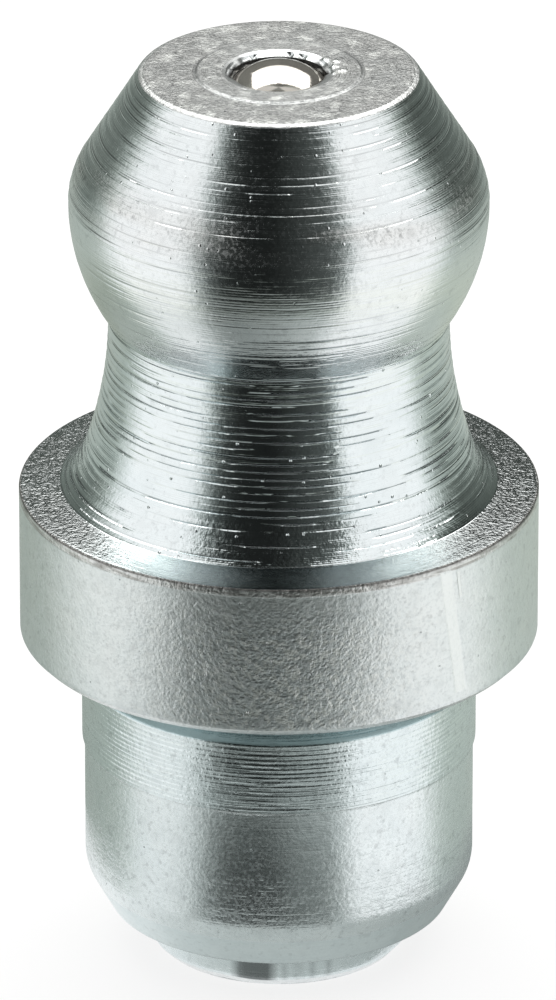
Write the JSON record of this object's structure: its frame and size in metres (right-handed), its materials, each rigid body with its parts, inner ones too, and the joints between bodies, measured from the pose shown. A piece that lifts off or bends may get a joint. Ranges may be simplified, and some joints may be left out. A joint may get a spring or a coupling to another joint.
{
  "type": "grease nipple",
  "caption": "Drive-in grease nipple: ball-shaped coupler head with a spring-loaded check ball, waisted neck, round collar and plain tapered shank.",
  "frame": {"origin": "on the axis, in the plane of the collar's seating face (its underside)", "axes": "+Z along the axis of rotation, from the shank towards the coupler head; X and Y are any two directions across it"},
  "size_m": [0.0082, 0.0082, 0.0149],
  "materials": {
    "zinc_plated_steel": "turned steel, bright zinc plated with a clear blue passivation; turning grooves show through",
    "bearing_steel": "ground and polished",
    "spring_steel": "drawn wire, plain"
  },
  "bodies": {
    "nipple": {"nipple_body": "zinc_plated_steel", "ball_spring": "spring_steel"},
    "ball": {"check_ball": "bearing_steel"}
  },
  "joints": [
    {"name": "ball_lift", "type": "slide", "parent": "nipple", "child": "ball", "axis": [0, 0, 1], "range_m": [-0.0015, 0], "stiffness_N_per_m": 550, "deforming": ["ball_spring"]}
  ]
}
